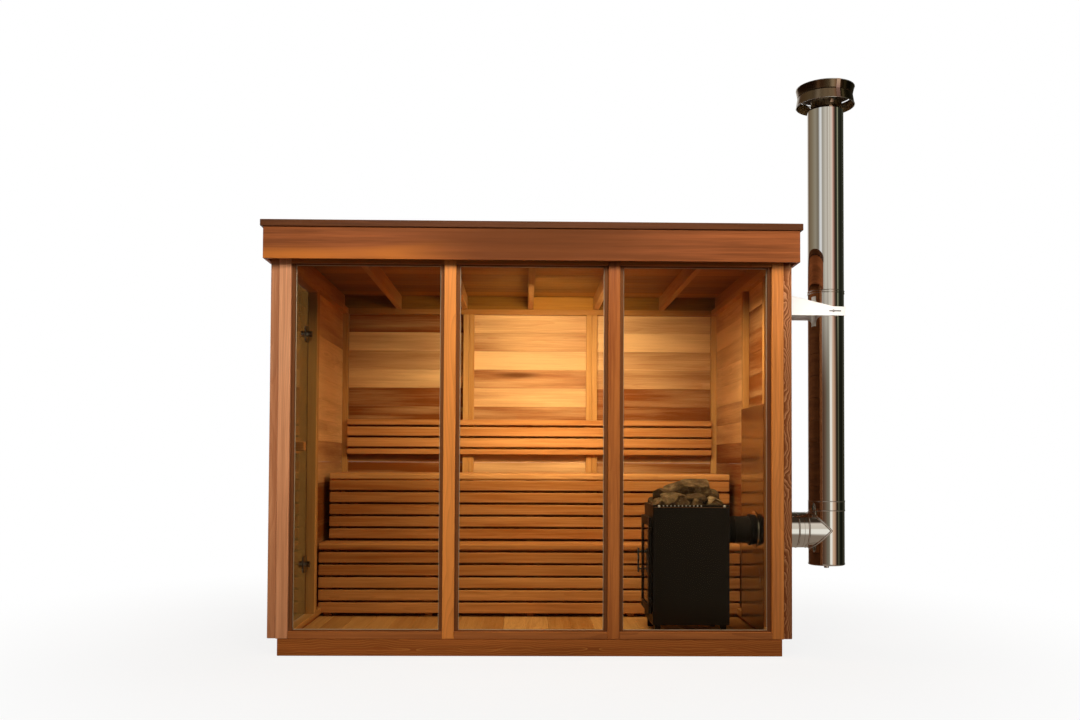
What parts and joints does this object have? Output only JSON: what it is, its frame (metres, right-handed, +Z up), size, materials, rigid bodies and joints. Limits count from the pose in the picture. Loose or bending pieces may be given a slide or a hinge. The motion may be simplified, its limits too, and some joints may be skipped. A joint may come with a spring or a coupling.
{
  "type": "cube sauna",
  "caption": "Flat-roofed outdoor cube sauna of cedar with a glazed front, glass side door, slatted benches, wood stove and steel chimney.",
  "frame": {"origin": "on the ground under the middle of the cabin's footprint, on the underside of the middle floor joist", "axes": "+Z up, +X to the right along the glazed front, +Y from the glazed front to the back wall"},
  "size_m": [3.2545, 1.9586, 3.1679],
  "materials": {
    "cedar": "oiled, planed",
    "stained_cedar": "stained, satin",
    "dark_cedar": "stained dark, satin",
    "clear_glass": "clear toughened",
    "tinted_glass": "bronze tinted",
    "smoked_glass": "smoked",
    "satin_steel": "satin",
    "polished_steel": "polished",
    "stove_black": "matt heat-proof paint",
    "stove_stone": "rough broken",
    "roofing": "matt sheet",
    "white_paint": "gloss enamel"
  },
  "bodies": {
    "cabin": {"base_rim": "dark_cedar", "floor_joists": "cedar", "floor_boards": "cedar", "front_posts": "stained_cedar", "front_rails": "stained_cedar", "front_panes": "clear_glass", "glazing_beads": "stained_cedar", "right_wall": "cedar", "left_wall": "cedar", "back_wall": "cedar", "wall_plates": "cedar", "wall_studs": "cedar", "corner_boards": "stained_cedar", "door_frame": "stained_cedar", "door_hinge_leaves": "satin_steel", "rafters": "cedar", "rafter_blocking": "cedar", "roof_boards": "cedar", "roofing_sheet": "roofing", "fascias": "dark_cedar", "roof_cap": "dark_cedar", "upper_bench_seat": "cedar", "upper_bench_skirt": "cedar", "lower_bench_seat": "cedar", "lower_bench_skirt": "cedar", "bench_legs": "cedar", "bench_bearers": "cedar", "backrest": "cedar", "backrest_battens": "cedar", "heat_shield": "satin_steel", "stove_body": "stove_black", "stove_stones": "stove_stone", "stove_flue_pipe": "stove_black", "flue_wall_collar": "stove_black", "flue_branch": "polished_steel", "chimney_tee": "polished_steel", "chimney_tee_cap": "polished_steel", "chimney_pipes": "polished_steel", "chimney_locking_bands": "polished_steel", "chimney_wall_bracket": "white_paint", "chimney_cap": "polished_steel"},
    "door": {"door_glass": "tinted_glass", "door_handle": "cedar", "door_fittings": "satin_steel", "door_hinge_clamps": "satin_steel"},
    "stove_door": {"stove_door_frame": "stove_black", "stove_door_glass": "smoked_glass", "stove_door_handle": "satin_steel"}
  },
  "joints": [
    {"name": "door_hinge", "type": "hinge", "parent": "cabin", "child": "door", "pos_m": [-1.34195, -0.22025, 1.05], "axis": [0, 0, -1], "range_deg": [0, 100]},
    {"name": "stove_door_hinge", "type": "hinge", "parent": "cabin", "child": "stove_door", "pos_m": [0.653, -0.67325, 0.45], "axis": [0, 0, 1], "range_deg": [0, 100]}
  ]
}
